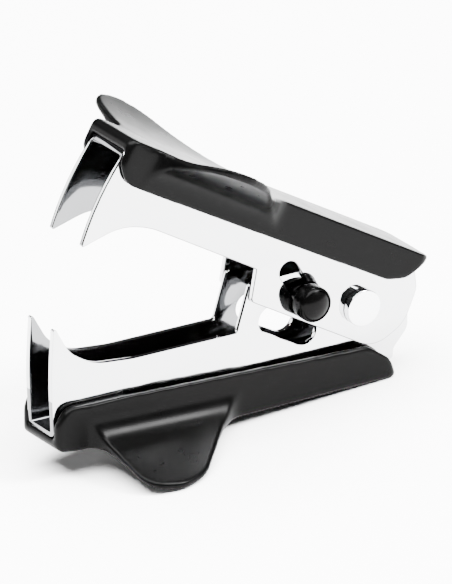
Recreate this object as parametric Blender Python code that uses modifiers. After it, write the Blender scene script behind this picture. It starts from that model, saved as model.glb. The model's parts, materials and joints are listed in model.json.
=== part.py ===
"""Claw staple remover with a sliding lock.

Two U-channel jaws of chrome-plated sheet steel turn on one rivet. The upper
jaw straddles the lower one. Each jaw's spine is covered by a moulded grip
with a pair of finger wings, a torsion spring on the rivet holds the jaws
open, and a pin with a knob at each end slides in the slots of all four
cheeks to lock the jaws closed.

Frames: the lower frame has its origin on the rivet's axis, X to the rear,
Y across, Z up, and the lower grip's rear underside level. The upper frame is
the same for the upper jaw and is turned open about the rivet. A cover frame
has its Z pointing out of the jaw's spine. The stance empty stands the whole
object on its lower wings and the rear of the lower grip.
"""
import math

import bmesh
import bpy
from mathutils import Matrix, Vector

MM = 0.001

# Driving dimensions, in millimetres and degrees
OPEN_ANGLE = 30.0            # upper frame against lower frame, jaws open
LENGTH_FRONT = 51.3          # rivet axis to the claws' front edges
SHEET = 0.8                  # sheet steel thickness
LOWER_HALF = 3.35            # lower jaw, outer half width
UPPER_HALF = 4.3             # upper jaw, outer half width
FIT_GAP = 0.12               # between a grip and its jaw
RIVET_RADIUS = 1.45
RIVET_BORE = 1.55
RIVET_HEAD_RADIUS = 2.75
RIVET_HEAD_HEIGHT = 1.25
KNOB_RADIUS = 2.65
KNOB_HEIGHT = 3.05
NECK_RADIUS = 1.4
PIN_RADIUS = 0.9
WING_HALF_SPAN = 17.5        # finger wings, centre plane to rim
LOWER_WING_RISE = 3.6        # rim beyond the cover's flat strip
UPPER_WING_RISE = 3.0
WIRE_RADIUS = 0.4            # torsion spring wire
COIL_RADIUS = 3.0            # torsion spring, to the middle of the wire
COIL_START = 295.5           # angle about the rivet where the lower leg leaves the coil
COIL_WIND = 1546.1           # angle wound from the lower leg to the upper one
SPRING_LEG = 13.0

# Lock: the pin's place in the upper frame, open and locked
PIN_OPEN = Vector((-9.35, -1.95))
PIN_LOCKED = Vector((-14.5, 0.9))
CLOSING_ANGLE = 28.0

STEPS_PER_TURN = 48


def clear_scene():
    for scene_object in list(bpy.data.objects):
        bpy.data.objects.remove(scene_object, do_unlink=True)


def collection(name):
    group = bpy.data.collections.new(name)
    bpy.context.scene.collection.children.link(group)
    return group


def material(name, colour, roughness, metallic):
    finish = bpy.data.materials.new(name)
    finish.use_nodes = True
    shader = finish.node_tree.nodes["Principled BSDF"]
    shader.inputs["Base Color"].default_value = (*colour, 1.0)
    shader.inputs["Roughness"].default_value = roughness
    shader.inputs["Metallic"].default_value = metallic
    return finish


# ---------------------------------------------------------------- outlines

def arc(centre, radius, start, end, steps_per_turn=STEPS_PER_TURN):
    """Points from angle start to angle end, in degrees, both included."""
    count = max(2, math.ceil(abs(end - start) / 360.0 * steps_per_turn))
    points = []
    for step in range(count + 1):
        angle = math.radians(start + (end - start) * step / count)
        points.append(centre + radius * Vector((math.cos(angle), math.sin(angle))))
    return points


def rounded(corners):
    """Outline from corners (x, y, radius), each rounded to its radius."""
    points = []
    count = len(corners)
    for index, (x, y, radius) in enumerate(corners):
        corner = Vector((x, y))
        if radius == 0:
            points.append(corner)
            continue
        before = (Vector(corners[index - 1][:2]) - corner).normalized()
        after = (Vector(corners[(index + 1) % count][:2]) - corner).normalized()
        half = before.angle(after) / 2
        inward = (before + after).normalized()
        centre = corner + inward * radius / math.sin(half)
        start = corner + before * radius / math.tan(half) - centre
        end = corner + after * radius / math.tan(half) - centre
        start_angle = math.degrees(math.atan2(start.y, start.x))
        sweep = math.degrees(math.atan2(start.cross(end), start.dot(end)))
        points += arc(centre, radius, start_angle, start_angle + sweep)
    return points


def obround(start, end, radius):
    """Slot outline around two end centres."""
    heading = math.degrees(math.atan2(end.y - start.y, end.x - start.x))
    return (arc(end, radius, heading - 90, heading + 90)
            + arc(start, radius, heading + 90, heading + 270))


def arc_slot(radius, half_width, start, end):
    """Outline of a slot that curves about the rivet, with round ends."""
    origin = Vector((0, 0))

    def on_circle(angle):
        return radius * Vector((math.cos(math.radians(angle)), math.sin(math.radians(angle))))

    return (arc(origin, radius + half_width, start, end)
            + arc(on_circle(end), half_width, end, end + 180)
            + arc(origin, radius - half_width, end, start)
            + arc(on_circle(start), half_width, start + 180, start + 360))


# ---------------------------------------------------------------- solids

SIDE_VIEW = Matrix.Rotation(math.radians(90), 4, "X")
PLAN_VIEW = Matrix.Identity(4)
FRONT_VIEW = Matrix(((0, 0, 1, 0), (1, 0, 0, 0), (0, 1, 0, 0), (0, 0, 0, 1)))


def flat_mesh(name, points, half_depth, view):
    """Closed mesh of an outline in millimetres, thick on both sides of its plane."""
    curve = bpy.data.curves.new(name, "CURVE")
    curve.dimensions = "2D"
    curve.fill_mode = "BOTH"
    curve.extrude = half_depth * MM
    spline = curve.splines.new("POLY")
    spline.points.add(len(points) - 1)
    for place, point in zip(spline.points, points):
        place.co = (point.x * MM, point.y * MM, 0, 1)
    spline.use_cyclic_u = True
    outline = bpy.data.objects.new(name, curve)
    bpy.context.scene.collection.objects.link(outline)
    depsgraph = bpy.context.evaluated_depsgraph_get()
    mesh = bpy.data.meshes.new_from_object(outline.evaluated_get(depsgraph))
    bpy.data.objects.remove(outline, do_unlink=True)
    mesh.transform(view)
    tidy_mesh(mesh)
    return mesh


def tidy_mesh(mesh):
    """Weld the caps and point every face outwards."""
    work = bmesh.new()
    work.from_mesh(mesh)
    bmesh.ops.remove_doubles(work, verts=work.verts, dist=1e-6)
    bmesh.ops.recalc_face_normals(work, faces=work.faces)
    work.to_mesh(mesh)
    work.free()


def add_object(name, mesh, group, parent):
    item = bpy.data.objects.new(name, mesh)
    group.objects.link(item)
    item.parent = parent
    return item


def finished(item, finish):
    item.data.materials.clear()
    item.data.materials.append(finish)
    item.data.shade_smooth()
    item.data.set_sharp_from_angle(angle=math.radians(30))
    return item


def boolean(item, other, operation):
    cut = item.modifiers.new(operation.title() + " " + other.name, "BOOLEAN")
    cut.operation = operation
    cut.solver = "EXACT"
    cut.object = other


def guide(name, mesh, parent):
    """A helper solid that only shapes other pieces."""
    item = add_object(name, mesh, guides, parent)
    item.hide_render = True
    item.display_type = "WIRE"
    return item


def side_guide(name, points, half_depth, parent):
    return guide(name, flat_mesh(name, points, half_depth, SIDE_VIEW), parent)


def turned(name, profile, group, parent, segments=32):
    """Solid of revolution about the Y axis from (radius, y) points in millimetres."""
    mesh = bpy.data.meshes.new(name)
    verts = [(radius * MM, 0, height * MM) for radius, height in profile]
    mesh.from_pydata(verts, [(n, n + 1) for n in range(len(verts) - 1)], [])
    item = add_object(name, mesh, group, parent)
    item.rotation_euler = (math.radians(-90), 0, 0)
    spin = item.modifiers.new("Turn", "SCREW")
    spin.axis = "Z"
    spin.steps = segments
    spin.render_steps = segments
    spin.use_merge_vertices = True
    spin.merge_threshold = 1e-6
    return item


def dome(radius, height, base, steps=6):
    """Profile of a shallow dome from its centre out to its rim."""
    sphere = (radius * radius + height * height) / (2 * height)
    centre = base + height - sphere
    span = math.asin(radius / sphere)
    return [(sphere * math.sin(span * n / steps), centre + sphere * math.cos(span * n / steps))
            for n in range(steps + 1)]


# ---------------------------------------------------------------- jaws

LOWER_SPINE_FRONT = Vector((-LENGTH_FRONT, -8.9))
LOWER_SPINE_REAR = Vector((6.2, -10.25))
UPPER_SPINE_FRONT = Vector((-LENGTH_FRONT + 0.6, 8.6))
UPPER_SPINE_REAR = Vector((6.0, 8.3))

LOWER_CHEEK = [
    (-51.25, 8.3, 0.25),                                  # claw tip
    (-48.6, 3.6, 6.0),
    (-44.6, 1.0, 9.0),
    (-38.0, 0.3, 20.0),
    (-20.3, 0.1, 0.5),                                    # foot of the ear
    (-18.05, 7.2, 0.6),                                   # ear's front corner
    (-1.0, 7.2, 6.0),
    (5.5, 5.0, 3.5),
    (8.7, -1.0, 6.0),
    (8.75, -5.6, 2.2),
    (6.35, -8.3, 1.2),
    (LOWER_SPINE_REAR.x, LOWER_SPINE_REAR.y, 0),
    (LOWER_SPINE_FRONT.x, LOWER_SPINE_FRONT.y, 0),
    (-51.75, 0.0, 60.0),                                  # bowed front edge
]

UPPER_CHEEK = [
    (-50.75, -6.55, 0.25),                                # claw tip
    (-51.9, 1.0, 40.0),                                   # bowed front edge
    (UPPER_SPINE_FRONT.x, UPPER_SPINE_FRONT.y, 0),
    (UPPER_SPINE_REAR.x, UPPER_SPINE_REAR.y, 0),
    (8.2, 5.2, 3.0),
    (8.75, 0.0, 5.0),
    (5.6, -5.0, 5.0),
    (-18.5, -5.05, 0.9),                                  # foot of the step
    (-20.1, -0.4, 0.3),
    (-41.0, -0.3, 14.0),
    (-45.8, -1.6, 10.0),
]


def channel_jaw(name, cheek, spine_front, spine_rear, half_width, outward, parent):
    """U-channel: a block with the cheek's outline, hollowed from the open side.

    outward is +1 where the spine is on top and -1 where it is underneath.
    """
    jaw = add_object(name, flat_mesh(name, rounded(cheek), half_width, SIDE_VIEW), parts, parent)
    inner_front = spine_front - Vector((10.0, outward * SHEET))
    inner_rear = spine_rear + Vector((10.0, -outward * SHEET))
    open_side = -outward * 30.0
    hollow = [inner_front, inner_rear, Vector((inner_rear.x, open_side)),
              Vector((inner_front.x, open_side))]
    boolean(jaw, side_guide(name + "_hollow", hollow, half_width - SHEET, parent), "DIFFERENCE")
    bore = side_guide(name + "_bore", arc(Vector((0, 0)), RIVET_BORE, 0, 360)[:-1], 10.0, parent)
    boolean(jaw, bore, "DIFFERENCE")
    return jaw


def slot_lower_jaw(jaw):
    """Straight lock slot, the arc that the open pin stands in, and the pin's way past the ear.

    The ear of a real jaw closes over the arc, so that the pin can't slide while
    the jaws are open. The way past it leaves the lock's travel free at rest.
    """
    opening = Matrix.Rotation(math.radians(-OPEN_ANGLE), 2)
    pin_open = opening @ PIN_OPEN
    pin_past_ear = opening @ (PIN_LOCKED + 0.3 * (PIN_LOCKED - PIN_OPEN))
    reach = PIN_OPEN.length
    start = math.degrees(math.atan2(pin_open.y, pin_open.x))
    cuts = {
        "arc_slot": arc_slot(reach, 2.05, start, start + CLOSING_ANGLE + 3.0),
        "lock_slot": obround(Vector((-14.6, 0.85)), Vector((-8.9, -2.2)), 2.1),
        "pin_way": obround(pin_past_ear, pin_open, NECK_RADIUS + 0.15),
    }
    for name, outline in cuts.items():
        boolean(jaw, side_guide("lower_" + name, outline, 10.0, jaw.parent), "DIFFERENCE")


def slot_upper_jaw(jaw):
    """Lock slot, with a wider hole where the pin stands in the open jaws."""
    cuts = {
        "lock_slot": obround(PIN_LOCKED, PIN_OPEN, 1.6),
        "pin_hole": arc(PIN_OPEN, 2.2, 0, 360)[:-1],
    }
    for name, outline in cuts.items():
        boolean(jaw, side_guide("upper_" + name, outline, 10.0, jaw.parent), "DIFFERENCE")


# ---------------------------------------------------------------- grips

def wing_plan(front, rear, half_width):
    """Plan outline of a grip, X against Y: its walls, wings and round corners."""
    half = [
        (rear, 0.0, 0),
        (rear - 0.2, half_width - 0.1, 1.6),
        (-22.0, half_width, 5.0),
        (-25.5, 8.0, 8.0),
        (-34.0, 16.7, 8.0),
        (-38.5, WING_HALF_SPAN + 0.4, 3.5),
        (-44.1, WING_HALF_SPAN - 0.6, 3.8),
        (-45.0, half_width, 0.8),
        (front, half_width - 0.35, 1.2),
        (front, 0.0, 0),
    ]
    mirrored = [(x, -y, radius) for x, y, radius in reversed(half[1:-1])]
    return rounded(half + mirrored)


def wing_section(top, rise, half_width, fold, outward):
    """Cross-section of a grip, Y against Z: flat strip, dished wings and walls."""
    strip = 4.2
    run = WING_HALF_SPAN + 1.0 - strip
    dish = (run * run + rise * rise) / (2 * rise)
    span = math.degrees(math.asin(run / dish))
    curve = arc(Vector((strip, top + dish)), dish, 270, 270 + span, 240)
    rim = curve[-1]
    half = [Vector((0, top))] + curve
    half += [Vector((rim.x, rim.y - 1.3)), Vector((half_width + 1.6, fold + 0.55)),
             Vector((half_width, fold - 0.5)), Vector((half_width, 0))]
    mirrored = [Vector((-point.x, point.y)) for point in reversed(half[1:])]
    return [Vector((point.x, outward * point.y)) for point in half + mirrored]


def bend_front(mesh, bend, front, drop):
    """Lower the part of a mesh ahead of the bend line, in proportion to the distance."""
    work = bmesh.new()
    work.from_mesh(mesh)
    everything = work.verts[:] + work.edges[:] + work.faces[:]
    bmesh.ops.bisect_plane(work, geom=everything, plane_co=(bend * MM, 0, 0), plane_no=(1, 0, 0))
    for vert in work.verts:
        ahead = min(0.0, vert.co.x - bend * MM)
        vert.co.z += drop * ahead / (bend - front)
    work.to_mesh(mesh)
    work.free()


def grip(name, side, top, rise, front_drop, plan, half_width, fold, channel_steps, outward, parent):
    """Moulded cover: side view, plan and cross-section crossed, then hollowed for the jaw."""
    outline = [(x, outward * z, radius) for x, z, radius in side]
    cover = add_object(name, flat_mesh(name, rounded(outline), 30.0, SIDE_VIEW), parts, parent)
    plan_mesh = flat_mesh(name + "_plan", plan, 30.0, PLAN_VIEW)
    boolean(cover, guide(name + "_plan", plan_mesh, parent), "INTERSECT")
    section = wing_section(top, rise, half_width, fold, outward)
    section_mesh = flat_mesh(name + "_section", section, 70.0, FRONT_VIEW)
    bend_front(section_mesh, -24.0, -LENGTH_FRONT, outward * front_drop)
    boolean(cover, guide(name + "_section", section_mesh, parent), "INTERSECT")
    for number, (start, half, floor_height) in enumerate(channel_steps, 1):
        hollow = [Vector((start, outward * floor_height(start))),
                  Vector((20.0, outward * floor_height(20.0))),
                  Vector((20.0, -outward * 30.0)), Vector((start, -outward * 30.0))]
        boolean(cover, side_guide(f"{name}_channel_{number}", hollow, half, parent), "DIFFERENCE")
    return cover


def beyond_spine(spine_front, spine_rear):
    """Height of a cover's inner floor over a jaw's spine, as a function of X."""
    slope = (abs(spine_rear.y) - abs(spine_front.y)) / (spine_rear.x - spine_front.x)
    return lambda x: abs(spine_front.y) + FIT_GAP + slope * (x - spine_front.x)


LOWER_GRIP_SIDE = [
    (-46.2, 11.05, 0),
    (-51.6, 10.82, 1.4),
    (-51.6, 6.9, 2.0),
    (-49.9, 4.15, 2.4),
    (-40.0, 4.3, 20.0),
    (1.0, 6.3, 2.6),
    (4.7, 8.9, 3.0),
    (6.3, 12.3, 0),
    (6.3, 17.0, 0),
    (-46.2, 17.0, 0),
]

UPPER_GRIP_SIDE = [
    (-46.2, 10.69, 0),
    (-51.4, 10.78, 1.4),
    (-51.4, 6.9, 2.0),
    (-49.0, 4.35, 3.2),
    (-40.0, 4.4, 20.0),
    (1.6, 4.95, 2.6),
    (4.6, 6.1, 3.0),
    (7.4, 9.9, 0.6),
    (7.4, 16.0, 0),
    (-46.2, 16.0, 0),
]


# ---------------------------------------------------------------- small pieces

def pivot_rivet(parent):
    """Rivet through all four cheeks, with a dome on both ends."""
    seat = UPPER_HALF + 0.12
    rim = seat + RIVET_HEAD_HEIGHT - 0.4
    cap = dome(RIVET_HEAD_RADIUS - 0.1, 0.4, rim)
    half = cap + [(RIVET_HEAD_RADIUS, rim - 0.1), (RIVET_HEAD_RADIUS, seat), (RIVET_RADIUS, seat)]
    profile = half + [(radius, -height) for radius, height in reversed(half)]
    return turned("pivot_rivet", profile, parts, parent)


def lock_pin(parent):
    reach = UPPER_HALF + 2.2
    profile = [(0, reach), (PIN_RADIUS - 0.2, reach), (PIN_RADIUS, reach - 0.2),
               (PIN_RADIUS, -reach + 0.2), (PIN_RADIUS - 0.2, -reach), (0, -reach)]
    return turned("lock_pin", profile, parts, parent, 24)


def lock_knob(name, direction, parent):
    """Domed knob with a neck through the cheeks, bored for the pin's end."""
    base = UPPER_HALF + 0.15
    face = base + KNOB_HEIGHT - 1.2
    cap = dome(KNOB_RADIUS - 0.25, 1.05, face + 0.15)
    neck_end = LOWER_HALF - SHEET - 0.2
    bore = PIN_RADIUS + 0.06
    profile = cap + [(KNOB_RADIUS, face - 0.1), (KNOB_RADIUS, base + 0.25),
                     (KNOB_RADIUS - 0.25, base), (NECK_RADIUS, base), (NECK_RADIUS, neck_end),
                     (bore, neck_end), (bore, UPPER_HALF + 2.35), (0, UPPER_HALF + 2.35)]
    knob = turned(name, profile, parts, parent, 32)
    if direction < 0:
        knob.rotation_euler.x = math.radians(90)
    return knob


def torsion_spring(parent):
    """Coil around the rivet with one leg along each jaw's spine."""
    half_length = LOWER_HALF - SHEET - 2 * WIRE_RADIUS
    start = math.radians(COIL_START)
    wind = math.radians(COIL_WIND)
    samples = 96
    coil = []
    for step in range(samples + 1):
        share = step / samples
        angle = start + wind * share
        coil.append(Vector((COIL_RADIUS * math.cos(angle), half_length * (2 * share - 1),
                            COIL_RADIUS * math.sin(angle))))
    lower_leg = Vector((math.sin(start), 0, -math.cos(start))) * SPRING_LEG
    upper_leg = Vector((-math.sin(start + wind), 0, math.cos(start + wind))) * SPRING_LEG
    path = [coil[0] + lower_leg] + coil + [coil[-1] + upper_leg]
    curve = bpy.data.curves.new("torsion_spring", "CURVE")
    curve.dimensions = "3D"
    curve.bevel_depth = WIRE_RADIUS * MM
    curve.bevel_resolution = 2
    curve.use_fill_caps = True
    spline = curve.splines.new("POLY")
    spline.points.add(len(path) - 1)
    for place, point in zip(spline.points, path):
        place.co = (*(point * MM), 1)
    return add_object("torsion_spring", curve, parts, parent)


# ---------------------------------------------------------------- assembly

clear_scene()
parts = collection("staple_remover")
guides = collection("guides")

chrome = material("chrome_plate", (0.86, 0.87, 0.88), 0.08, 1.0)
zinc = material("spring_steel", (0.55, 0.56, 0.58), 0.3, 1.0)
black = material("black_grip_plastic", (0.012, 0.012, 0.013), 0.32, 0.0)
gloss = material("black_knob_plastic", (0.01, 0.01, 0.011), 0.18, 0.0)


def empty(name, parent, place=(0, 0, 0), turn=0.0):
    frame = bpy.data.objects.new(name, None)
    parts.objects.link(frame)
    frame.parent = parent
    frame.location = Vector(place) * MM
    frame.rotation_euler = (0, math.radians(turn), 0)
    return frame


def stand_on_ground(frame, pieces):
    """Move a frame so that the middle of its pieces' underside is the world's origin."""
    depsgraph = bpy.context.evaluated_depsgraph_get()
    points = []
    for piece in pieces:
        shape = piece.evaluated_get(depsgraph)
        points += [shape.matrix_world @ vert.co for vert in shape.to_mesh().vertices]
        shape.to_mesh_clear()
    middle = (min(point.x for point in points) + max(point.x for point in points)) / 2
    frame.location -= Vector((middle, 0, min(point.z for point in points)))


# The lower wing rims and the rear edge of the lower grip touch the ground together
GRIP_REAR_FOOT = Vector((6.18, 12.05))
WING_FOOT = Vector((-38.0, 14.65))
STANCE_ANGLE = math.degrees(math.atan2(WING_FOOT.y - GRIP_REAR_FOOT.y,
                                       GRIP_REAR_FOOT.x - WING_FOOT.x))

stance = empty("stance", None, (0, 0, 0), STANCE_ANGLE)
hinge = empty("jaw_hinge", stance, (0, 0, 0), OPEN_ANGLE)
lock = empty("lock_slide", hinge, (PIN_OPEN.x, 0, PIN_OPEN.y))

lower_jaw = channel_jaw("lower_jaw", LOWER_CHEEK, LOWER_SPINE_FRONT, LOWER_SPINE_REAR,
                        LOWER_HALF, -1, stance)
slot_lower_jaw(lower_jaw)
upper_jaw = channel_jaw("upper_jaw", UPPER_CHEEK, UPPER_SPINE_FRONT, UPPER_SPINE_REAR,
                        UPPER_HALF, 1, hinge)
slot_upper_jaw(upper_jaw)

lower_floor = beyond_spine(LOWER_SPINE_FRONT, LOWER_SPINE_REAR)
upper_floor = beyond_spine(UPPER_SPINE_FRONT, UPPER_SPINE_REAR)
lower_grip = grip("lower_grip", LOWER_GRIP_SIDE, 12.05, LOWER_WING_RISE, 1.2,
                  wing_plan(-51.6, 6.3, 5.3), 5.3, 7.8,
                  [(-60.0, LOWER_HALF + FIT_GAP, lower_floor), (-39.8, 4.15, lambda x: 8.8)],
                  -1, stance)
upper_grip = grip("upper_grip", UPPER_GRIP_SIDE, 10.3, UPPER_WING_RISE, -0.5,
                  wing_plan(-51.4, 7.4, 5.8), 5.8, 7.6,
                  [(-60.0, UPPER_HALF + FIT_GAP, upper_floor)], 1, hinge)

for piece in (lower_jaw, upper_jaw, pivot_rivet(stance)):
    finished(piece, chrome)
for piece in (lower_grip, upper_grip):
    finished(piece, black)
finished(lock_pin(lock), chrome)
finished(lock_knob("near_lock_knob", -1, lock), gloss)
finished(lock_knob("far_lock_knob", 1, lock), gloss)
spring = torsion_spring(stance)
spring.data.materials.append(zinc)
stand_on_ground(stance, [item for item in parts.objects if item.type != "EMPTY"])
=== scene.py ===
"""Finished look of the claw staple remover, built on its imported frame."""

import json
import math

import bpy
from mathutils import Matrix, Vector


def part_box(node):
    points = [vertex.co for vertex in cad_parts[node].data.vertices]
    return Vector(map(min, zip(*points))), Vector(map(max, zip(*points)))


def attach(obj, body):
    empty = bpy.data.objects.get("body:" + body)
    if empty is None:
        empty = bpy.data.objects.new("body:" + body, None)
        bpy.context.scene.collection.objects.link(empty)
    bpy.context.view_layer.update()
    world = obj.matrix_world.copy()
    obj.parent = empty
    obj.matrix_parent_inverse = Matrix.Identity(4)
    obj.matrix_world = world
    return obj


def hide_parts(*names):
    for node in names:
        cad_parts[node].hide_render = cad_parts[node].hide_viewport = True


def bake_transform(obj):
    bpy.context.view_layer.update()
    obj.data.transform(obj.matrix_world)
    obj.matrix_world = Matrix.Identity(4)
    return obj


bl_info = {
    "name": "Staple Remover",
    "version": (1, 0, 0),
    "blender": (4, 5, 0),
    "location": "View3D > Sidebar > Staple Remover",
    "description": "Builds the finished pieces of a claw staple remover and its studio",
    "category": "Object",
}

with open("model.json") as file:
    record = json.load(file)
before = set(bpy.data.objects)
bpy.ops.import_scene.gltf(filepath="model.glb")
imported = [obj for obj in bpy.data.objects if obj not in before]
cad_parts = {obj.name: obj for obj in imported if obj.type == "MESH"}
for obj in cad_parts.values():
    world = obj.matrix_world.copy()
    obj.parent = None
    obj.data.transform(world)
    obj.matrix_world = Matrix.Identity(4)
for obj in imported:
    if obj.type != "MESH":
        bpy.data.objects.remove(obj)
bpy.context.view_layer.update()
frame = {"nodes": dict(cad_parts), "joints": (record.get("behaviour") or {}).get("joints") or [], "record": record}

MM = 0.001
SIDE_VIEW = Matrix.Rotation(math.radians(90), 4, "X")
PLAN_VIEW = Matrix.Identity(4)
FRONT_VIEW = Matrix(((0, 0, 1, 0), (1, 0, 0, 0), (0, 1, 0, 0), (0, 0, 0, 1)))


# ------------------------------------------------------------ the object's frames

def joint(name):
    return next(entry for entry in frame["joints"] if entry["name"] == name)


def mount_axis(name):
    return Vector(next(entry for entry in frame["record"]["mounts"] if entry["name"] == name)["axis"])


def jaw_frame(outward, spine_up):
    """Matrix of a jaw's frame: origin on the rivet's axis, Z across the jaw, X to the rear."""
    up = outward * spine_up
    turn = math.atan2(up.x, up.z)
    return Matrix.Translation(joint("jaw_hinge")["pos_m"]) @ Matrix.Rotation(turn, 4, "Y")


LOWER = jaw_frame(mount_axis("lower_rest_face"), -1)
UPPER = jaw_frame(mount_axis("upper_finger_face"), 1)
OPEN_ANGLE = math.degrees((LOWER.inverted() @ UPPER).to_euler().y)


def box_centre(node):
    low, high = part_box(node)
    return (Vector(low) + Vector(high)) / 2


# ------------------------------------------------------------ settings

def length(name, default, description):
    return bpy.props.FloatProperty(name=name, default=default * MM, description=description,
                                   subtype="DISTANCE", unit="LENGTH", min=0.0, precision=5)


def colour(name, default, description):
    return bpy.props.FloatVectorProperty(name=name, default=default, description=description,
                                         subtype="COLOR", size=3, min=0.0, max=1.0)


def share(name, default, description):
    return bpy.props.FloatProperty(name=name, default=default, description=description,
                                   subtype="FACTOR", min=0.0, max=1.0)


class JawSettings(bpy.types.PropertyGroup):
    sheet: length("Sheet", 0.8, "Thickness of the sheet steel")
    outer_bend: length("Outer Bend", 0.95, "Radius outside the bend from spine to cheek")
    inner_bend: length("Inner Bend", 0.35, "Radius inside the bend from spine to cheek")
    edge: length("Edge", 0.12, "Rounding of the sheared edges")
    bore: length("Bore", 1.55, "Radius of the rivet's holes")
    chrome: colour("Chrome", (0.5, 0.504, 0.512), "Colour of the chrome plating")
    # Darker chrome inside the channels: painted shade for the dark insides of the channels.
    channel_shade_chrome: colour("Channel Shade Chrome", (0.14, 0.142, 0.146), "Colour of the plating inside the channels")
    # Near-black chrome on the rounding of the sheared edges: painted shade that draws dark lines along the edges.
    edge_shade_chrome: colour("Edge Shade Chrome", (0.04, 0.04, 0.042), "Colour of the plating on the sheared edges")
    roughness: share("Roughness", 0.05, "Roughness of the chrome plating")


class GripSettings(bpy.types.PropertyGroup):
    half_span: length("Half Span", 17.5, "Centre plane to the wings' rims")
    lower_rise: length("Lower Rise", 3.6, "Rise of the lower wings' rims over the flat strip")
    upper_rise: length("Upper Rise", 3.0, "Rise of the upper wings' rims over the flat strip")
    strip: length("Strip", 4.2, "Half width of the flat strip between the wings")
    rim: length("Rim", 1.3, "Thickness of the wings at their rims")
    voxel: length("Voxel", 0.21, "Cell size for rounding the moulded edges")
    plastic: colour("Plastic", (0.0008, 0.0008, 0.0008), "Colour of the moulded plastic")
    roughness: share("Roughness", 0.30, "Roughness of the moulded plastic")


class FastenerSettings(bpy.types.PropertyGroup):
    head: length("Head", 2.75, "Radius of the rivet's domed heads")
    head_height: length("Head Height", 1.25, "Height of the rivet's heads")
    knob: length("Knob", 2.65, "Radius of the lock knobs")
    knob_height: length("Knob Height", 3.05, "Height of the knobs over the cheeks")
    neck: length("Neck", 1.4, "Radius of the necks between the cheeks")
    pin: length("Pin", 0.9, "Radius of the lock pin")
    knob_plastic: colour("Knob Plastic", (0.0008, 0.0008, 0.0008), "Colour of the knobs")
    knob_roughness: share("Knob Roughness", 0.22, "Roughness of the knobs")


class SpringSettings(bpy.types.PropertyGroup):
    wire: length("Wire", 0.4, "Radius of the spring's wire")
    coil: length("Coil", 3.0, "Rivet axis to the middle of the wire")
    leg: length("Leg", 13.0, "Length of the two legs")
    start: bpy.props.FloatProperty(name="Start", default=math.radians(295.5), subtype="ANGLE",
                                   unit="ROTATION", description="Where the lower leg leaves the coil")
    wind: bpy.props.FloatProperty(name="Wind", default=math.radians(1546.1), subtype="ANGLE",
                                  unit="ROTATION", description="Angle from the lower leg to the upper")
    steel: colour("Steel", (0.55, 0.56, 0.58), "Colour of the spring wire")


class StageSettings(bpy.types.PropertyGroup):
    azimuth: bpy.props.FloatProperty(name="Azimuth", default=math.radians(-33), subtype="ANGLE",
                                     unit="ROTATION", description="Camera's turn round the object")
    elevation: bpy.props.FloatProperty(name="Elevation", default=math.radians(23), subtype="ANGLE",
                                       unit="ROTATION", description="Camera's height over the object")
    view_width: length("View Width", 64.6, "Width of the camera's view at the object")
    distance: length("Distance", 3000.0, "Camera to the object")
    floor_colour: colour("Floor", (0.93, 0.93, 0.93), "Colour of the floor")


SETTINGS = {
    "staple_jaws": JawSettings,
    "staple_grips": GripSettings,
    "staple_fasteners": FastenerSettings,
    "staple_spring": SpringSettings,
    "staple_stage": StageSettings,
}


# ------------------------------------------------------------ outlines, in millimetres

def arc(centre, radius, start, end, steps_per_turn=120):
    """Points from angle start to angle end, in degrees, both included."""
    count = max(3, math.ceil(abs(end - start) / 360.0 * steps_per_turn))
    points = []
    for step in range(count + 1):
        angle = math.radians(start + (end - start) * step / count)
        points.append(centre + radius * Vector((math.cos(angle), math.sin(angle))))
    return points


def rounded(corners, steps_per_turn=120):
    """Outline from corners (x, y, radius), each rounded to its radius."""
    points = []
    count = len(corners)
    for index, (x, y, radius) in enumerate(corners):
        corner = Vector((x, y))
        if radius == 0:
            points.append(corner)
            continue
        before = (Vector(corners[index - 1][:2]) - corner).normalized()
        after = (Vector(corners[(index + 1) % count][:2]) - corner).normalized()
        half = before.angle(after) / 2
        inward = (before + after).normalized()
        centre = corner + inward * radius / math.sin(half)
        start = corner + before * radius / math.tan(half) - centre
        end = corner + after * radius / math.tan(half) - centre
        start_angle = math.degrees(math.atan2(start.y, start.x))
        sweep = math.degrees(math.atan2(start.cross(end), start.dot(end)))
        points += arc(centre, radius, start_angle, start_angle + sweep, steps_per_turn)
    return points


def obround(start, end, radius):
    """Slot outline around two end centres."""
    heading = math.degrees(math.atan2(end.y - start.y, end.x - start.x))
    return (arc(end, radius, heading - 90, heading + 90, 72)
            + arc(start, radius, heading + 90, heading + 270, 72))


def arc_slot(radius, half_width, start, end):
    """Outline of a slot that curves about the rivet, with round ends."""
    origin = Vector((0, 0))

    def on_circle(angle):
        return radius * Vector((math.cos(math.radians(angle)), math.sin(math.radians(angle))))

    return (arc(origin, radius + half_width, start, end)
            + arc(on_circle(end), half_width, end, end + 180, 72)[1:-1]
            + arc(origin, radius - half_width, end, start)
            + arc(on_circle(start), half_width, start + 180, start + 360, 72)[1:-1])


# ------------------------------------------------------------ modelling

def choose(piece):
    """Select only this object and make it active."""
    bpy.ops.object.select_all(action="DESELECT")
    piece.select_set(True)
    bpy.context.view_layer.objects.active = piece


def edit(piece):
    """Enter edit mode on a piece, with everything selected."""
    choose(piece)
    bpy.ops.object.mode_set(mode="EDIT")
    bpy.ops.mesh.select_mode(type="VERT")
    bpy.ops.mesh.select_all(action="SELECT")


def leave_edit():
    bpy.ops.object.mode_set(mode="OBJECT")


def prism(name, outline, low, high, view):
    """Solid of an outline between two heights, in millimetres, laid into a view's plane."""
    bpy.ops.object.select_all(action="DESELECT")
    bpy.ops.mesh.primitive_circle_add(vertices=len(outline), radius=MM, fill_type="NGON")
    piece = bpy.context.object
    piece.name = name
    for vert, point in zip(piece.data.vertices, outline):
        vert.co = (point.x * MM, point.y * MM, low * MM)
    edit(piece)
    bpy.ops.mesh.extrude_region_move(TRANSFORM_OT_translate={"value": (0, 0, (high - low) * MM)})
    bpy.ops.mesh.select_all(action="SELECT")
    bpy.ops.mesh.normals_make_consistent(inside=False)
    leave_edit()
    piece.data.transform(view)
    return piece


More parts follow.
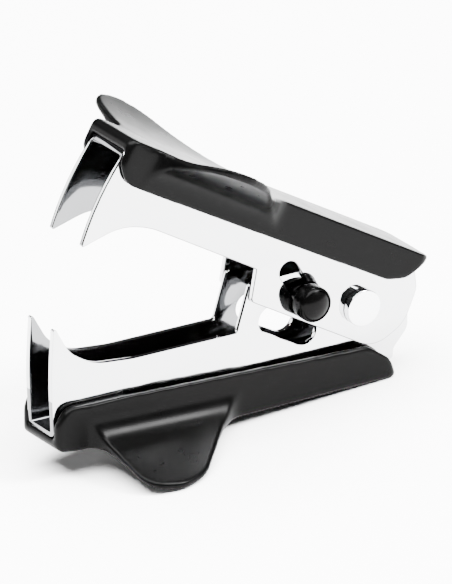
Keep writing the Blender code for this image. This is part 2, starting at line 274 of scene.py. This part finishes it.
def apply_modifier(piece, kind, **values):
    """Add a modifier with these values and apply it."""
    choose(piece)
    modifier = piece.modifiers.new(kind.title(), kind)
    for key, value in values.items():
        setattr(modifier, key, value)
    bpy.ops.object.modifier_apply(modifier=modifier.name)


def combine(piece, tool, operation):
    """Boolean of a piece with a tool, which is used up."""
    apply_modifier(piece, "BOOLEAN", operation=operation, solver="EXACT", object=tool)
    bpy.data.objects.remove(tool, do_unlink=True)


def bevel_edges(piece, chosen, offset, segments):
    """Bevel the edges whose two ends pass a test."""
    edit(piece)
    bpy.ops.mesh.select_mode(type="EDGE")
    bpy.ops.mesh.select_all(action="DESELECT")
    leave_edit()
    verts = piece.data.vertices
    for edge in piece.data.edges:
        a, b = (verts[index].co for index in edge.vertices)
        edge.select = chosen(a, b)
    bpy.ops.object.mode_set(mode="EDIT")
    bpy.ops.mesh.bevel(offset=offset, segments=segments, affect="EDGES")
    leave_edit()


def turned(name, profile, segments=96):
    """Solid of revolution about Y from (radius, y) points in millimetres, ends on the axis."""
    bpy.ops.object.select_all(action="DESELECT")
    bpy.ops.mesh.primitive_circle_add(vertices=len(profile), radius=MM, fill_type="NOTHING")
    piece = bpy.context.object
    piece.name = name
    for vert, (radius, along) in zip(piece.data.vertices, profile):
        vert.co = (radius * MM, along * MM, 0)
    edit(piece)
    bpy.ops.mesh.spin(steps=segments, angle=math.tau, center=(0, 0, 0), axis=(0, 1, 0))
    bpy.ops.mesh.select_all(action="SELECT")
    bpy.ops.mesh.remove_doubles(threshold=1e-7)
    bpy.ops.mesh.delete_loose()
    bpy.ops.mesh.select_all(action="SELECT")
    bpy.ops.mesh.normals_make_consistent(inside=False)
    leave_edit()
    return piece


def place(piece, matrix):
    """Put a piece modelled at the origin into its frame, with its transform applied."""
    piece.matrix_world = matrix
    choose(piece)
    bpy.ops.object.transform_apply(location=True, rotation=True, scale=True)


def finish_piece(piece, finish, body, nodes, angle=30):
    """Smooth a piece, give it its material, and tie it to the frame."""
    choose(piece)
    bpy.ops.object.shade_smooth_by_angle(angle=math.radians(angle))
    piece.data.materials.clear()
    piece.data.materials.append(finish)
    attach(piece, body)
    if nodes:
        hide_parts(*nodes)


# ------------------------------------------------------------ materials

def node_material(name):
    """Material with its Principled shader, node tree and object coordinates."""
    finish = bpy.data.materials.new(name)
    finish.use_nodes = True
    tree = finish.node_tree
    place_node = tree.nodes.new("ShaderNodeTexCoord")
    return finish, tree, tree.nodes["Principled BSDF"], place_node.outputs["Object"]


def noise(tree, coordinates, scale, detail=2.0):
    texture = tree.nodes.new("ShaderNodeTexNoise")
    texture.inputs["Scale"].default_value = scale
    texture.inputs["Detail"].default_value = detail
    tree.links.new(coordinates, texture.inputs["Vector"])
    return texture.outputs["Fac"]


def map_range(tree, value, low, high):
    """Noise, which stays mostly between 0.3 and 0.7, spread between two values."""
    spread = tree.nodes.new("ShaderNodeMapRange")
    spread.inputs["From Min"].default_value = 0.3
    spread.inputs["From Max"].default_value = 0.7
    spread.inputs["To Min"].default_value = low
    spread.inputs["To Max"].default_value = high
    tree.links.new(value, spread.inputs["Value"])
    return spread.outputs["Result"]


def bump(tree, shader, height, strength, distance):
    node = tree.nodes.new("ShaderNodeBump")
    node.inputs["Strength"].default_value = strength
    node.inputs["Distance"].default_value = distance
    tree.links.new(height, node.inputs["Height"])
    tree.links.new(node.outputs["Normal"], shader.inputs["Normal"])


def metal(name, tint, roughness, ripple):
    """Plated or drawn metal with a faint unevenness."""
    finish, tree, shader, coordinates = node_material(name)
    shader.inputs["Base Color"].default_value = (*tint, 1.0)
    shader.inputs["Metallic"].default_value = 1.0
    uneven = map_range(tree, noise(tree, coordinates, 180.0), roughness * 0.8, roughness * 1.25)
    tree.links.new(uneven, shader.inputs["Roughness"])
    bump(tree, shader, noise(tree, coordinates, 90.0, 1.0), ripple, 0.0002)
    return finish


PLASTIC_SPECULAR = 0.035     # strength of the plastics' shine


def plastic(name, tint, roughness, grain):
    """Moulded plastic with a fine grain."""
    finish, tree, shader, coordinates = node_material(name)
    shader.inputs["Base Color"].default_value = (*tint, 1.0)
    shader.inputs["Specular IOR Level"].default_value = PLASTIC_SPECULAR
    uneven = map_range(tree, noise(tree, coordinates, 250.0), roughness * 0.9, roughness * 1.12)
    tree.links.new(uneven, shader.inputs["Roughness"])
    bump(tree, shader, noise(tree, coordinates, 4000.0, 1.0), grain, 0.00003)
    return finish


# ------------------------------------------------------------ jaws

LENGTH_FRONT = 51.3          # rivet axis to the claws' front edges
LOWER_HALF = 3.35            # lower jaw, outer half width
UPPER_HALF = 4.3             # upper jaw, outer half width
PIN_OPEN = Vector((-9.35, -1.95))
PIN_LOCKED = Vector((-14.5, 0.9))
CLOSING_ANGLE = joint("jaw_hinge")["range_deg"][1]

LOWER_SPINE = (Vector((-LENGTH_FRONT, -8.9)), Vector((6.2, -10.25)))
UPPER_SPINE = (Vector((-LENGTH_FRONT + 0.6, 8.6)), Vector((6.0, 8.3)))

LOWER_CHEEK = [
    (-51.25, 8.3, 0.25),                                  # claw tip
    (-48.6, 3.6, 6.0),
    (-44.6, 1.0, 9.0),
    (-38.0, 0.3, 20.0),
    (-20.3, 0.1, 0.5),                                    # foot of the ear
    (-18.05, 7.2, 0.6),                                   # ear's front corner
    (-1.0, 7.2, 6.0),
    (5.5, 5.0, 3.5),
    (8.7, -1.0, 6.0),
    (8.75, -5.6, 2.2),
    (6.35, -8.3, 1.2),
    (*LOWER_SPINE[1], 0),
    (*LOWER_SPINE[0], 0),
    (-51.75, 0.0, 60.0),                                  # bowed front edge
]

UPPER_CHEEK = [
    (-50.75, -6.55, 0.25),                                # claw tip
    (-51.9, 1.0, 40.0),                                   # bowed front edge
    (*UPPER_SPINE[0], 0),
    (*UPPER_SPINE[1], 0),
    (8.2, 5.2, 3.0),
    (8.75, 0.0, 5.0),
    (5.6, -5.0, 5.0),
    (-18.5, -5.05, 0.9),                                  # foot of the step
    (-20.1, -0.4, 0.3),
    (-41.0, -0.3, 14.0),
    (-45.8, -1.6, 10.0),
]


def jaw_cuts(outward):
    """Outlines of the lock's slots in a jaw's cheeks."""
    if outward > 0:
        return [obround(PIN_LOCKED, PIN_OPEN, 1.6), arc(PIN_OPEN, 2.2, 0, 360, 72)[:-1]]
    pin = Matrix.Rotation(math.radians(-OPEN_ANGLE), 2) @ PIN_OPEN
    start = math.degrees(math.atan2(pin.y, pin.x))
    return [arc_slot(pin.length, 2.05, start, start + CLOSING_ANGLE + 3.0),
            obround(Vector((-14.6, 0.85)), Vector((-8.9, -2.2)), 2.1)]


def channel_jaw(name, cheek, spine, half_width, outward, matrix):
    """U-channel jaw: an outlined block with round bends, hollowed, slotted and deburred."""
    settings = bpy.context.scene.staple_jaws
    sheet = settings.sheet / MM
    jaw = prism(name, rounded(cheek), -half_width, half_width, SIDE_VIEW)
    front, rear = spine

    def along_spine(a, b):
        """Edges that run the length of the spine."""
        return abs(a.x - b.x) > 0.9 * (rear.x - front.x) * MM

    bevel_edges(jaw, along_spine, settings.outer_bend, 8)
    reach = Vector((10.0, 0.0))
    lift = Vector((0.0, -outward * sheet))
    away = Vector((0.0, -outward * 40.0))
    floor_front = front + lift - reach
    floor_rear = rear + lift + reach
    hollow = prism(name + "_hollow", [floor_front, floor_rear, floor_rear + away, floor_front + away],
                   sheet - half_width, half_width - sheet, SIDE_VIEW)
    bevel_edges(hollow, lambda a, b: abs(a.x - b.x) > 0.06 and max(abs(a.z), abs(b.z)) < 0.015,
                settings.inner_bend, 5)
    combine(jaw, hollow, "DIFFERENCE")
    bore = arc(Vector((0, 0)), settings.bore / MM, 0, 360, 72)[:-1]
    for number, outline in enumerate(jaw_cuts(outward) + [bore], 1):
        combine(jaw, prism(f"{name}_cut_{number}", outline, -10.0, 10.0, SIDE_VIEW), "DIFFERENCE")
    apply_modifier(jaw, "BEVEL", width=settings.edge, segments=2, limit_method="ANGLE",
                   angle_limit=math.radians(50), miter_outer="MITER_ARC")
    place(jaw, matrix)
    return jaw


BEND_HEIGHT = 7.2            # rivet axis to where the bends into the spines begin
ROUNDED_NORMAL = (0.3, 0.96)  # how far across a face points on the rounding of an edge


def paint_shaded_faces(jaw, inside, edges, half_width, outward, matrix):
    """Paint shade on a jaw: darker chrome inside its channel and near-black chrome on the rounding of its edges.
    """
    jaw.data.materials.append(inside)
    jaw.data.materials.append(edges)
    sheet = bpy.context.scene.staple_jaws.sheet
    to_jaw = matrix.inverted()
    least, most = ROUNDED_NORMAL
    for face in jaw.data.polygons:
        height = outward * (to_jaw @ face.center).z
        # Faces inside the channel take the darker chrome: painted shade.
        if abs(face.center.y) < half_width * MM - 0.6 * sheet:
            face.material_index = 1
        # Faces on the rounding of an edge take the near-black chrome: painted shade for dark edge lines.
        elif least < abs(face.normal.y) < most and height < BEND_HEIGHT * MM:
            face.material_index = 2


# ------------------------------------------------------------ grips

LOWER_GRIP_SIDE = [
    (-46.2, 11.05, 0),
    (-51.6, 10.82, 1.4),
    (-51.6, 6.9, 2.0),
    (-49.9, 4.15, 2.4),
    (-40.0, 4.3, 20.0),
    (1.0, 6.3, 2.6),
    (4.7, 8.9, 3.0),
    (6.3, 12.3, 0),
    (6.3, 17.0, 0),
    (-46.2, 17.0, 0),
]

UPPER_GRIP_SIDE = [
    (-46.2, 10.69, 0),
    (-51.4, 10.78, 1.4),
    (-51.4, 6.9, 2.0),
    (-49.0, 4.35, 3.2),
    (-40.0, 4.4, 20.0),
    (1.6, 4.95, 2.6),
    (4.6, 6.1, 3.0),
    (7.4, 9.9, 0.6),
    (7.4, 16.0, 0),
    (-46.2, 16.0, 0),
]

FIT_GAP = 0.12               # between a grip and its jaw
WELD = 0.03                  # joins points closer than this before a grip is remeshed
SMOOTHING = (8, 16)          # smoothing steps after each of a grip's two remeshes


def wing_plan(front, rear, half_width, half_span):
    """Plan outline of a grip, X against Y: its walls, wings and round corners."""
    half = [
        (rear, 0.0, 0),
        (rear - 0.2, half_width - 0.1, 1.6),
        (-22.0, half_width, 5.0),
        (-25.5, 8.0, 8.0),
        (-34.0, 16.7, 8.0),
        (-38.5, half_span + 0.4, 3.5),
        (-44.1, half_span - 0.6, 3.8),
        (-45.0, half_width, 2.2),
        (front, half_width - 0.35, 1.2),
        (front, 0.0, 0),
    ]
    mirrored = [(x, -y, radius) for x, y, radius in reversed(half[1:-1])]
    return rounded(half + mirrored)


def wing_section(top, rise, half_width, fold, outward):
    """Cross-section of a grip, Y against Z: flat strip, dished wings and walls."""
    settings = bpy.context.scene.staple_grips
    strip = settings.strip / MM
    run = settings.half_span / MM + 1.0 - strip
    dish = (run * run + rise * rise) / (2 * rise)
    span = math.degrees(math.asin(run / dish))
    curve = arc(Vector((strip, top + dish)), dish, 270, 270 + span, 160)
    rim = curve[-1]
    rim_thickness = settings.rim / MM
    under = rounded([(*rim, 0), (rim.x, rim.y - rim_thickness, 0), (half_width, fold, 3.6),
                     (half_width, 0, 0)])
    half = [Vector((0, top))] + curve[:-1] + under
    mirrored = [Vector((-point.x, point.y)) for point in reversed(half[1:])]
    return [Vector((point.x, outward * point.y)) for point in half + mirrored]


def bend_front(piece, bend, front, drop):
    """Lower the part of a solid ahead of the bend line, in proportion to the distance."""
    edit(piece)
    bpy.ops.mesh.bisect(plane_co=(bend * MM, 0, 0), plane_no=(1, 0, 0))
    leave_edit()
    for vert in piece.data.vertices:
        ahead = min(0.0, vert.co.x - bend * MM)
        vert.co.z += drop * ahead / (bend - front)


def beyond_spine(spine):
    """Height of a cover's inner floor over a jaw's spine, as a function of X."""
    front, rear = spine
    slope = (abs(rear.y) - abs(front.y)) / (rear.x - front.x)
    return lambda x: abs(front.y) + FIT_GAP + slope * (x - front.x)


def grip(name, side, top, rise, front_drop, plan, half_width, fold, channels, outward, matrix):
    """Moulded cover: side view, plan and section crossed, hollowed, and its edges softened."""
    settings = bpy.context.scene.staple_grips
    outline = [(x, outward * z, radius) for x, z, radius in side]
    cover = prism(name, rounded(outline), -30.0, 30.0, SIDE_VIEW)
    combine(cover, prism(name + "_plan", plan, -30.0, 30.0, PLAN_VIEW), "INTERSECT")
    profile = wing_section(top, rise, half_width, fold, outward)
    section = prism(name + "_section", profile, -70.0, 70.0, FRONT_VIEW)
    bend_front(section, -24.0, -LENGTH_FRONT, outward * front_drop)
    combine(cover, section, "INTERSECT")
    for number, (start, half, floor_height) in enumerate(channels, 1):
        hollow = [Vector((start, outward * floor_height(start))),
                  Vector((20.0, outward * floor_height(20.0))),
                  Vector((20.0, -outward * 30.0)), Vector((start, -outward * 30.0))]
        combine(cover, prism(f"{name}_channel_{number}", hollow, -half, half, SIDE_VIEW), "DIFFERENCE")
    edit(cover)
    bpy.ops.mesh.remove_doubles(threshold=WELD * MM)
    bpy.ops.mesh.quads_convert_to_tris(quad_method="BEAUTY", ngon_method="BEAUTY")
    leave_edit()
    for iterations in SMOOTHING:
        apply_modifier(cover, "REMESH", mode="VOXEL", voxel_size=settings.voxel)
        apply_modifier(cover, "SMOOTH", factor=0.5, iterations=iterations)
    place(cover, matrix)
    return cover


# ------------------------------------------------------------ operators

class STAPLE_OT_jaws(bpy.types.Operator):
    """Build the two chrome-plated channel jaws"""
    bl_idname = "staple.jaws"
    bl_label = "Jaws"

    def execute(self, context):
        settings = context.scene.staple_jaws
        chrome = metal("chrome_plate", settings.chrome, settings.roughness, 0.02)
        # Darker chrome inside the channels: painted shade.
        channel_shade_chrome = metal("painted_channel_shade_chrome", settings.channel_shade_chrome, 2 * settings.roughness, 0.02)
        # Near-black chrome on the edge roundings: painted shade.
        edge_shade_chrome = metal("painted_edge_shade_chrome", settings.edge_shade_chrome, 4 * settings.roughness, 0.02)
        lower = channel_jaw("lower_jaw_sheet", LOWER_CHEEK, LOWER_SPINE, LOWER_HALF, -1, LOWER)
        upper = channel_jaw("upper_jaw_sheet", UPPER_CHEEK, UPPER_SPINE, UPPER_HALF, 1, UPPER)
        finish_piece(lower, chrome, "lower", ["lower_jaw"])
        finish_piece(upper, chrome, "upper", ["upper_jaw"])
        paint_shaded_faces(lower, channel_shade_chrome, edge_shade_chrome, LOWER_HALF, -1, LOWER)
        paint_shaded_faces(upper, channel_shade_chrome, edge_shade_chrome, UPPER_HALF, 1, UPPER)
        return {"FINISHED"}


class STAPLE_OT_grips(bpy.types.Operator):
    """Build the two moulded grips with their finger wings"""
    bl_idname = "staple.grips"
    bl_label = "Grips"

    def execute(self, context):
        settings = context.scene.staple_grips
        black = plastic("black_grip_plastic", settings.plastic, settings.roughness, 0.15)
        span = settings.half_span / MM
        lower_channels = [(-60.0, LOWER_HALF + FIT_GAP, beyond_spine(LOWER_SPINE)),
                          (-39.8, 4.15, lambda x: 8.8)]
        upper_channels = [(-60.0, UPPER_HALF + FIT_GAP, beyond_spine(UPPER_SPINE))]
        lower = grip("lower_grip_cover", LOWER_GRIP_SIDE, 12.05, settings.lower_rise / MM, 1.2,
                     wing_plan(-51.6, 6.3, 5.3, span), 5.3, 9.9, lower_channels, -1, LOWER)
        upper = grip("upper_grip_cover", UPPER_GRIP_SIDE, 10.3, settings.upper_rise / MM, -0.5,
                     wing_plan(-51.4, 7.4, 5.8, span), 5.8, 8.0, upper_channels, 1, UPPER)
        finish_piece(lower, black, "lower", ["lower_grip"], 80)
        finish_piece(upper, black, "upper", ["upper_grip"], 80)
        return {"FINISHED"}


def dome(radius, height, base, steps=16):
    """Profile of a shallow dome from its centre out to its rim."""
    sphere = (radius * radius + height * height) / (2 * height)
    centre = base + height - sphere
    span = math.asin(radius / sphere)
    return [(sphere * math.sin(span * n / steps), centre + sphere * math.cos(span * n / steps))
            for n in range(steps + 1)]


def round_corner(radius, height, rounding, start, end):
    """Profile arc of a rim's round corner, (radius, y), its middle inside the corner."""
    points = arc(Vector((radius - rounding, height)), rounding, start, end, 48)
    return [tuple(point) for point in points]


FASTENER_CHROME = (0.72, 0.725, 0.735)
RIVET_CROWN = 0.22           # rise of the rivet heads' middles over their rims
RIVET_SHANK = 1.45
RIM_ROUNDING = 0.15


class STAPLE_OT_rivet(bpy.types.Operator):
    """Build the domed pivot rivet"""
    bl_idname = "staple.rivet"
    bl_label = "Pivot Rivet"

    def execute(self, context):
        settings = context.scene.staple_fasteners
        head = settings.head / MM
        seat = UPPER_HALF + 0.12
        rim = seat + settings.head_height / MM - RIVET_CROWN
        cap = dome(head - 0.13, RIVET_CROWN, rim)
        corner = round_corner(head, rim - RIM_ROUNDING, RIM_ROUNDING, 75, 0)
        half = cap + corner + [(head, seat), (RIVET_SHANK, seat)]
        profile = half + [(radius, -along) for radius, along in reversed(half)]
        rivet = turned("rivet_domes", profile)
        place(rivet, LOWER)
        chrome = metal("rivet_chrome", FASTENER_CHROME, 0.1, 0.02)
        finish_piece(rivet, chrome, "lower", ["pivot_rivet"])
        return {"FINISHED"}


class STAPLE_OT_lock(bpy.types.Operator):
    """Build the lock's two knobs, and plate its pin"""
    bl_idname = "staple.lock"
    bl_label = "Lock"

    def execute(self, context):
        settings = context.scene.staple_fasteners
        black = plastic("black_knob_plastic", settings.knob_plastic, settings.knob_roughness, 0.05)
        knob = settings.knob / MM
        neck = settings.neck / MM
        base = UPPER_HALF + 0.15
        top = base + settings.knob_height / MM
        neck_end = LOWER_HALF - 0.8 - 0.2
        bore = settings.pin / MM + 0.06
        bore_end = UPPER_HALF + 2.35
        profile = (dome(knob - 0.35, 0.75, top - 0.75)
                   + round_corner(knob, top - 1.25, 0.9, 52, 0)
                   + round_corner(knob, base + 0.3, 0.3, 0, -90)
                   + [(neck, base), (neck, neck_end), (bore, neck_end), (bore, bore_end), (0, bore_end)])
        centre = Matrix.Translation(box_centre("lock_pin"))
        for name, side in (("near_lock_knob", -1), ("far_lock_knob", 1)):
            piece = turned(name + "_turned", [(radius, side * along) for radius, along in profile])
            place(piece, centre)
            finish_piece(piece, black, "lock", [name])
        pin = frame["nodes"]["lock_pin"]
        pin.data.materials.clear()
        pin.data.materials.append(metal("pin_chrome", FASTENER_CHROME, 0.12, 0.02))
        return {"FINISHED"}


class STAPLE_OT_spring(bpy.types.Operator):
    """Wind the torsion spring round the rivet, with a leg along each spine"""
    bl_idname = "staple.spring"
    bl_label = "Torsion Spring"

    def execute(self, context):
        settings = context.scene.staple_spring
        half_length = (LOWER_HALF - 0.8) * MM - 2 * settings.wire
        sides = 16
        steps = round(settings.wind / math.radians(5))
        bpy.ops.object.select_all(action="DESELECT")
        bpy.ops.mesh.primitive_circle_add(vertices=sides, radius=settings.wire, fill_type="NOTHING",
                                          location=(settings.coil, -half_length, 0))
        spring = bpy.context.object
        spring.name = "spring_wire"
        bpy.ops.object.transform_apply(location=True)
        edit(spring)
        bpy.ops.mesh.spin(steps=steps, angle=settings.wind, center=(0, 0, 0), axis=(0, 1, 0))
        leave_edit()
        verts = spring.data.vertices
        for vert in verts:
            vert.co.y += 2 * half_length * (vert.index // sides) / steps
        last = len(verts) - sides
        leave = Vector((-math.sin(settings.wind), 0, math.cos(settings.wind)))
        spring_leg(spring, range(sides), Vector((0, 0, -1)) * settings.leg)
        spring_leg(spring, range(last, last + sides), leave * settings.leg)
        place(spring, LOWER @ Matrix.Rotation(-settings.start, 4, "Y"))
        steel = metal("spring_steel", settings.steel, 0.25, 0.05)
        choose(spring)
        bpy.ops.object.shade_smooth_by_angle(angle=math.radians(40))
        spring.data.materials.append(steel)
        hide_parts("torsion_spring")
        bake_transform(spring)
        return {"FINISHED"}


def spring_leg(spring, ring, reach):
    """Draw the ring at a coil's end out into a straight leg, and close it."""
    edit(spring)
    bpy.ops.mesh.select_all(action="DESELECT")
    leave_edit()
    for index in ring:
        spring.data.vertices[index].select = True
    bpy.ops.object.mode_set(mode="EDIT")
    bpy.ops.mesh.extrude_region_move(TRANSFORM_OT_translate={"value": reach})
    bpy.ops.mesh.edge_face_add()
    bpy.ops.mesh.select_all(action="SELECT")
    bpy.ops.mesh.normals_make_consistent(inside=False)
    leave_edit()


class STAPLE_OT_stage(bpy.types.Operator):
    """Set the camera, the floor and the studio's lights"""
    bl_idname = "staple.stage"
    bl_label = "Studio"

    def execute(self, context):
        settings = context.scene.staple_stage
        add_camera(settings)
        add_floor(settings)
        add_lights()
        return {"FINISHED"}


# ------------------------------------------------------------ studio

VIEW_CENTRE = Vector((-16.8, 0.57))      # middle of the view from the rivet, right and up, in mm


def add_camera(settings):
    """Long-lens camera, level with the lower jaw's frame."""
    towards = Vector((math.sin(settings.azimuth) * math.cos(settings.elevation),
                      -math.cos(settings.azimuth) * math.cos(settings.elevation),
                      math.sin(settings.elevation)))
    facing = towards.to_track_quat("Z", "Y").to_matrix().to_4x4()
    offset = Vector((*VIEW_CENTRE, 0.0)) * MM
    offset.z = settings.distance
    bpy.ops.object.camera_add()
    camera = bpy.context.object
    camera.name = "photograph_view"
    camera.matrix_world = LOWER @ facing @ Matrix.Translation(offset)
    camera.data.sensor_fit = "HORIZONTAL"
    camera.data.lens = camera.data.sensor_width * settings.distance / settings.view_width
    camera.data.clip_end = 20.0
    bpy.context.scene.camera = camera


def add_floor(settings):
    bpy.ops.object.select_all(action="DESELECT")
    bpy.ops.mesh.primitive_plane_add(size=8.0, location=(0, 0, 0))
    floor = bpy.context.object
    floor.name = "floor"
    finish = bpy.data.materials.new("floor_paper")
    finish.use_nodes = True
    shader = finish.node_tree.nodes["Principled BSDF"]
    shader.inputs["Base Color"].default_value = (*settings.floor_colour, 1.0)
    shader.inputs["Roughness"].default_value = 0.8
    shader.inputs["Specular IOR Level"].default_value = 0.1
    floor.data.materials.append(finish)


def softbox(name, towards, distance, size, radiance):
    """Square soft light that faces the object from a direction in the lower jaw's frame."""
    direction = LOWER.to_3x3() @ Vector(towards).normalized()
    bpy.ops.object.light_add(type="AREA", location=direction * distance)
    light = bpy.context.object
    light.name = name
    light.rotation_euler = direction.to_track_quat("Z", "Y").to_euler()
    light.data.size = size
    light.data.energy = radiance * math.pi * size * size


SKY = 0.04                   # strength of the even light from all round
SOFTBOXES = [                # name, direction, distance and size in metres, radiance
    ("overhead_softbox", (-0.1, 0.0, 1.0), 1.5, 2.0, 28.0),
    ("key_softbox", (0.5, -0.5, 0.7), 1.5, 0.45, 150.0),
    ("back_right_softbox", (0.82, 0.55, 0.2), 1.5, 0.45, 5.0),
    ("back_left_softbox", (-0.59, 0.77, 0.28), 1.5, 0.6, 10.0),
]


def add_lights():
    world = bpy.data.worlds.new("studio")
    world.use_nodes = True
    sky = world.node_tree.nodes["Background"]
    sky.inputs["Color"].default_value = (1.0, 1.0, 1.0, 1.0)
    sky.inputs["Strength"].default_value = SKY
    bpy.context.scene.world = world
    for light in SOFTBOXES:
        softbox(*light)


# ------------------------------------------------------------ panel and registration

OPERATORS = [STAPLE_OT_jaws, STAPLE_OT_grips, STAPLE_OT_rivet, STAPLE_OT_lock, STAPLE_OT_spring,
             STAPLE_OT_stage]


class STAPLE_PT_panel(bpy.types.Panel):
    """Lists the settings and the steps that build the staple remover"""
    bl_label = "Staple Remover"
    bl_idname = "STAPLE_PT_panel"
    bl_space_type = "VIEW_3D"
    bl_region_type = "UI"
    bl_category = "Staple Remover"

    def draw(self, context):
        for operator in OPERATORS:
            self.layout.operator(operator.bl_idname)
        for name, group in SETTINGS.items():
            column = self.layout.column()
            for prop in group.__annotations__:
                column.prop(getattr(context.scene, name), prop)


CLASSES = [*SETTINGS.values(), *OPERATORS, STAPLE_PT_panel]


def register():
    for entry in CLASSES:
        bpy.utils.register_class(entry)
    for name, group in SETTINGS.items():
        setattr(bpy.types.Scene, name, bpy.props.PointerProperty(type=group))


def unregister():
    for name in SETTINGS:
        delattr(bpy.types.Scene, name)
    for entry in reversed(CLASSES):
        bpy.utils.unregister_class(entry)


def main():
    register()
    for step in ("jaws", "grips", "rivet", "lock", "spring", "stage"):
        getattr(bpy.ops.staple, step)()


if __name__ == "__main__":
    main()
